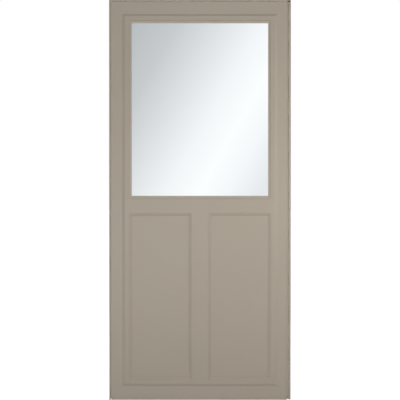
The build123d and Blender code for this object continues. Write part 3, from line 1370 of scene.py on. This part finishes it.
@dataclass
class Screws:
    """Pan-head screws with a cross recess, one shape set down at many places."""

    shop: Workshop
    segments: int = 40
    recess: float = 0.5
    arm: tuple[float, float] = (0.13, 0.05)
    arm_length: tuple[float, float] = (0.55, 0.08)
    jamb_x_mm: tuple[float, float] = (-2.0, -918.0)
    jamb_y_mm: float = 37.5
    jamb_z_mm: tuple[float, float] = (120.0, 1920.0)
    head_x_mm: tuple[float, float] = (-760.5, -160.5)
    head_z_mm: float = 2028.0
    flap_x_mm: tuple[float, float] = (-4.0, -17.1)
    flap_y_mm: float = 20.0
    flap_z_mm: tuple[float, float] = (70.0, 1950.0)
    retainer_x_mm: tuple[float, float] = (-815.7, -105.3)
    retainer_y_mm: float = 38.0
    retainer_side_z_mm: tuple[float, float] = (1080.0, 1870.0)
    retainer_row_z_mm: tuple[float, float] = (1922.8, 1027.8)
    retainer_inset_mm: float = 60.0
    expander_x_mm: tuple[float, ...] = (-820.0, -580.0, -341.0, -101.0)
    expander_y_mm: float = 39.4
    expander_z_mm: float = 36.0

    def head(self, radius_mm: float, height_mm: float) -> Shell:
        """One head on the origin that looks along +Z, with a cross-shaped recess.

        Height over radius r is h * (1 - 0.55 (r/R)^4); inside the cross arms it drops by the recess,
        over a short slope at the arms' sides and ends.

        Args:
            radius_mm: R, the head's radius.
            height_mm: h, its height.

        Returns:
            Points and faces.
        """
        rings = np.array([0.0, 0.1, 0.2, 0.32, 0.46, 0.6, 0.74, 0.86, 0.95, 1.0, 1.0])
        angle = np.linspace(0, 2 * np.pi, self.segments, endpoint=False)
        radius = rings[:, None] * np.ones_like(angle)[None]
        x, y = radius * np.cos(angle), radius * np.sin(angle)
        near = np.minimum(np.abs(x), np.abs(y))
        far = np.maximum(np.abs(x), np.abs(y))
        cut = np.clip((self.arm[0] - near) / self.arm[1], 0, 1)
        cut = cut * np.clip((self.arm_length[0] - far) / self.arm_length[1], 0, 1)
        height = 1 - 0.55 * radius**4 - self.recess * cut
        height[-1] = 0.0
        points = np.stack([x * radius_mm, y * radius_mm, height * height_mm], axis=-1)[1:]
        centre = np.array([[0.0, 0.0, self.recess * height_mm]])
        count, width = points.shape[:2]
        hub = count * width
        faces = grid_faces(count, width).tolist()
        faces += [[hub, k, (k + 1) % width] for k in range(width)]
        faces.append(list(range(hub - width, hub)))
        return np.concatenate([points.reshape(-1, 3), centre]) * MM, faces

    def row(self, name: str, body: Body, places: np.ndarray, look: tuple, size: tuple) -> None:
        """One piece that holds a row of heads, each turned by a random angle.

        Args:
            name: Name of the piece.
            body: Body it moves with.
            places: Array (n, 3) of millimetres, where each head sits.
            look: The way the heads look.
            size: Head radius and height in millimetres.
        """
        points, faces = self.head(*size)
        turn = np.array(Vector(look).to_track_quat("Z", "Y").to_matrix())
        rng = np.random.default_rng(len(places) + int(abs(places[0, 2])))
        parts = []
        for place in places:
            spin = rng.uniform(0, 2 * np.pi)
            cos, sin = math.cos(spin), math.sin(spin)
            roll = np.array([[cos, -sin, 0], [sin, cos, 0], [0, 0, 1]])
            parts.append((points @ roll.T @ turn.T + place * MM, faces))
        self.shop.fit(new_piece(name, *merged(parts), crease_deg=40.0), body, "hinge_paint")

    def retainer_places(self) -> np.ndarray:
        """Places of the retainers' screws: four on each side, three above and three below.

        Returns:
            Array (14, 3) of millimetres.
        """
        left, right = self.retainer_x_mm
        side_z = np.linspace(*self.retainer_side_z_mm, 4)
        across = np.linspace(left + self.retainer_inset_mm, right - self.retainer_inset_mm, 3)
        sides = [spots(x, self.retainer_y_mm, side_z) for x in (left, right)]
        return np.concatenate(sides + [spots(across, self.retainer_y_mm, z) for z in self.retainer_row_z_mm])

    def build(self) -> None:
        """Jamb, head, hinge, retainer and expander screws."""
        jamb_z = np.linspace(*self.jamb_z_mm, 6)
        flap_z = np.linspace(*self.flap_z_mm, 9)
        jambs = [spots(x, self.jamb_y_mm, jamb_z) for x in self.jamb_x_mm]
        flaps = [spots(x, self.flap_y_mm, flap_z) for x in self.flap_x_mm]
        head = spots(self.head_x_mm, self.jamb_y_mm, self.head_z_mm)
        foot = spots(self.expander_x_mm, self.expander_y_mm, self.expander_z_mm)
        right, left, down, back = (1, 0, 0), (-1, 0, 0), (0, 0, -1), (0, 1, 0)
        for name, body, places, look, size in (
            ("hinge_jamb", Body.FRAME, jambs[0], left, (4.0, 2.2)),
            ("latch_jamb", Body.FRAME, jambs[1], right, (4.0, 2.2)),
            ("head_jamb", Body.FRAME, head, down, (4.0, 2.2)),
            ("frame_flap", Body.FRAME, flaps[0], left, (3.4, 1.4)),
            ("leaf_flap", Body.LEAF, flaps[1], right, (3.4, 1.4)),
            ("retainer", Body.LEAF, self.retainer_places(), back, (3.0, 1.6)),
            ("expander", Body.LEAF, foot, back, (3.6, 1.8)),
        ):
            self.row(f"{name}_screws", body, places, look, size)


# Studio


@dataclass(frozen=True)
class Lamp:
    """A rectangular area lamp; the size is its width and height in metres."""

    name: str
    watts: float
    place: tuple[float, float, float]
    size: tuple[float, float]
    colour: Colour = (1.0, 0.985, 0.965)

    def build(self, target: tuple[float, float, float]) -> None:
        """Set the lamp up, unseen by the camera.

        Args:
            target: The point it looks at.
        """
        data = bpy.data.lights.new(self.name, "AREA")
        data.shape = "RECTANGLE"
        data.size, data.size_y = self.size
        data.energy = self.watts
        data.color = self.colour
        light = bpy.data.objects.new(self.name, data)
        light.location = self.place
        look = Vector(target) - Vector(self.place)
        light.rotation_euler = look.to_track_quat("-Z", "Y").to_euler()
        light.visible_camera = False
        light.visible_transmission = False
        bpy.context.collection.objects.link(light)


@dataclass
class Studio:
    """Camera, lamps, floor and the pale surroundings."""

    distance: float = 6.0
    aim: tuple[float, float] = (-0.4602, 1.0168)
    pitch_deg: float = 0.4
    frame_px: float = 400.0
    metres_per_px: float = 0.005075
    sensor: float = 36.0
    sight: float = 200.0
    fill: float = 0.047
    lamp_aim_z: float = 1.05
    lamps: tuple[Lamp, ...] = (
        Lamp("near_right", 5.0, (0.55, -1.15, 1.08), (0.3, 0.3)),
        Lamp("front_low", 14.6, (-0.8, -3.0, 0.7), (0.9, 0.45)),
        Lamp("far_right", 16.3, (2.2, -1.2, 1.9), (0.8, 0.8)),
        Lamp("front_high", 28.7, (-0.46, -3.0, 3.4), (1.2, 0.6)),
        Lamp("front_left", 16.6, (-2.4, -2.6, 0.9), (0.8, 0.8)),
        Lamp("behind_high", 60.0, (-0.46, 2.6, 3.3), (1.4, 1.0), (1.0, 0.99, 0.975)),
    )
    floor_half: float = 60.0
    floor_z: float = -0.0005
    floor_colour: Colour = (0.82, 0.82, 0.82)
    floor_roughness: float = 0.9
    floor_glow: tuple[tuple[float, float], tuple[float, float]] = ((0.5, 0.82), (2.5, 0.93))
    # The next five set the painted reflection: the slope of grey that the world shows only through glass.
    ramp_start: float = 0.723
    ramp_slope: tuple[float, float] = (5.32, -3.03)
    ramp_sides: tuple[float, float] = (0.2, 2.5)
    least_depth: float = 0.05
    painted_reflection_side_grey: Colour = (0.93, 0.935, 0.94)

    def build(self) -> None:
        """Set up the whole studio."""
        self.camera()
        for lamp in self.lamps:
            lamp.build((self.aim[0], 0.0, self.lamp_aim_z))
        self.floor()
        self.world()
        bpy.context.scene.view_settings.view_transform = "Standard"

    def camera(self) -> None:
        """Camera straight in front, slightly above the middle and tilted down."""
        pitch = math.radians(self.pitch_deg)
        data = bpy.data.cameras.new("camera")
        data.sensor_width = self.sensor
        away = self.distance / math.cos(pitch)
        data.lens = self.sensor * away / (self.frame_px * self.metres_per_px)
        data.clip_end = self.sight
        camera = bpy.data.objects.new("camera", data)
        camera.location = (self.aim[0], -self.distance, self.aim[1] + self.distance * math.tan(pitch))
        camera.rotation_euler = (math.pi / 2 - pitch, 0.0, 0.0)
        bpy.context.collection.objects.link(camera)
        bpy.context.scene.camera = camera

    def floor(self) -> None:
        """A pale floor that keeps a faint shadow and glows to the eye, more so away from the door."""
        half, z = self.floor_half, self.floor_z
        corners = [(-half, -half, z), (half, -half, z), (half, half, z), (-half, half, z)]
        mesh = bpy.data.meshes.new("floor")
        mesh.from_pydata(corners, [], [[0, 1, 2, 3]])
        floor = bpy.data.objects.new("floor", mesh)
        bpy.context.collection.objects.link(floor)
        material, nodes, shader = start_material("floor_white")
        away = nodes.add("ShaderNodeVectorMath", operation="DISTANCE")
        nodes.feed(nodes.place(), away.inputs[0])
        nodes.feed((self.aim[0], 0.0, 0.0), away.inputs[1])
        (near, low), (far, high) = self.floor_glow
        glow = nodes.add(
            "ShaderNodeMapRange",
            in_Value=away.outputs["Value"],
            in_From_Min=near,
            in_From_Max=far,
            in_To_Min=low,
            in_To_Max=high,
        )
        seen = nodes.rays("Is Camera Ray", "Is Glossy Ray", "Is Transmission Ray")
        nodes.wire(
            shader,
            Base_Color=(*self.floor_colour, 1.0),
            Roughness=self.floor_roughness,
            Emission_Color=WHITE,
            Emission_Strength=nodes.math("MULTIPLY", seen, glow.outputs["Result"]),
        )
        mesh.materials.append(material)

    def world(self) -> None:
        """Pale surroundings: even light, white to the camera, and through glass a painted reflection: a soft
        slope of grey standing in for the reflection in the pane.
        """
        world = bpy.data.worlds.new("pale_room")
        bpy.context.scene.world = world
        world.use_nodes = True
        world.node_tree.nodes.clear()
        nodes = Nodes(world.node_tree)
        shown = nodes.add("ShaderNodeBackground", in_Color=WHITE, in_Strength=self.fill)
        for seen, colour in (
            (nodes.rays("Is Camera Ray", "Is Glossy Ray"), WHITE),
            # Transmission rays see a painted reflection: a slope of grey standing in for the reflection in
            # the pane.
            (nodes.rays("Is Transmission Ray"), self.painted_glass_reflection(nodes)),
        ):
            next_shown = nodes.add("ShaderNodeBackground", in_Color=colour)
            mix = nodes.add("ShaderNodeMixShader", in_Fac=seen)
            nodes.feed(shown.outputs[0], mix.inputs[1])
            nodes.feed(next_shown.outputs[0], mix.inputs[2])
            shown = mix
        nodes.add("ShaderNodeOutputWorld", in_Surface=shown.outputs[0])

    def painted_glass_reflection(self, nodes: Nodes) -> object:
        """Painted reflection seen through glass: grey-blue up and left, white in the middle, pale grey
        beyond; it stands in for the reflection in the pane.

        With direction d, u = dx/|dy| and v = dz/|dy|, the place on the ramp is 0.723 + 5.32 u - 3.03 v.
        Well to the sides, where |u| grows from 0.2 to 0.6, it all fades to an even pale grey.

        Args:
            nodes: The world's nodes.

        Returns:
            The colour socket.
        """
        direction = nodes.add("ShaderNodeTexCoord").outputs["Generated"]
        parts = nodes.add("ShaderNodeSeparateXYZ", in_Vector=direction).outputs
        depth = nodes.math("MAXIMUM", nodes.math("ABSOLUTE", parts["Y"]), self.least_depth)
        u = nodes.math("DIVIDE", parts["X"], depth)
        v = nodes.math("DIVIDE", parts["Z"], depth)
        across, down = self.ramp_slope
        place = nodes.math("ADD", nodes.math("MULTIPLY", u, across), nodes.math("MULTIPLY", v, down))
        place = nodes.math("ADD", place, self.ramp_start, clamp=True)
        ramp = nodes.add("ShaderNodeValToRGB", in_Fac=place)
        stops = (
            (0.0, (0.475, 0.503, 0.525)),
            (0.19, (0.56, 0.583, 0.603)),
            (0.38, (0.725, 0.75, 0.772)),
            (0.57, (0.905, 0.925, 0.945)),
            (0.72, (0.985, 1.005, 1.015)),
            (0.85, (0.925, 0.945, 0.965)),
            (1.0, (0.79, 0.815, 0.84)),
        )
        elements = ramp.color_ramp.elements
        for position, _ in stops[1:-1]:
            elements.new(position)
        for element, (position, colour) in zip(elements, stops):
            element.position = position
            element.color = (*colour, 1.0)
        start, gain = self.ramp_sides
        beside = nodes.math("SUBTRACT", nodes.math("ABSOLUTE", u), start)
        beside = nodes.math("MULTIPLY", beside, gain, clamp=True)
        return nodes.blended(beside, ramp.outputs["Color"], self.painted_reflection_side_grey)


def main() -> None:
    """Build the door's looks in order."""
    logging.basicConfig(level=logging.INFO, format="%(message)s")
    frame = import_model()
    shop = Workshop(frame)
    Studio().build()
    LeafBorder(shop).build()
    LowerPanels(shop).build()
    Glazing(shop).build()
    FrameSections(shop).build()
    PianoHinge(shop).build()
    PileSeals(shop).build()
    BottomClosure(shop).build()
    Screws(shop).build()


if __name__ == "__main__":
    main()
